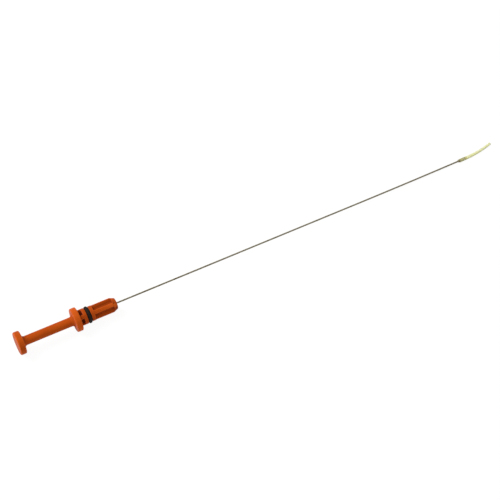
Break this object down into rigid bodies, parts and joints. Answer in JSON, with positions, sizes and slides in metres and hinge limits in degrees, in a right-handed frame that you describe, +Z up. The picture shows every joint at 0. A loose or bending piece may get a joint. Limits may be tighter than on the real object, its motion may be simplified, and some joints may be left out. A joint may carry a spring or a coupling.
{
  "type": "engine oil dipstick",
  "caption": "Engine oil dipstick: moulded finger handle with a flange, ribbed sealing plug and rubber ring, a long thin stem of twisted steel wire, and a curled nylon gauge tip.",
  "frame": {"origin": "middle of the flange's seat, on the handle's axis", "axes": "+X runs from the handle towards the gauge tip, along the surface that the dipstick lies on; +Z is up; the tip's tongue lies on the same surface and curls towards +Y; the handle's axis dips 1.60 degrees below +X"},
  "size_m": [0.4751, 0.0214, 0.0227],
  "materials": {
    "handle_plastic": "orange moulded plastic, satin",
    "seal_rubber": "black rubber, matte",
    "stem_steel": "drawn steel strands, dulled",
    "ferrule_steel": "plain steel",
    "tip_nylon": "natural nylon, pale yellow-green, slightly see-through"
  },
  "bodies": {
    "root": {"handle": "handle_plastic", "seal_ring": "seal_rubber", "stem": "stem_steel", "anchor_ferrule": "ferrule_steel", "gauge_tip": "tip_nylon"}
  },
  "joints": []
}
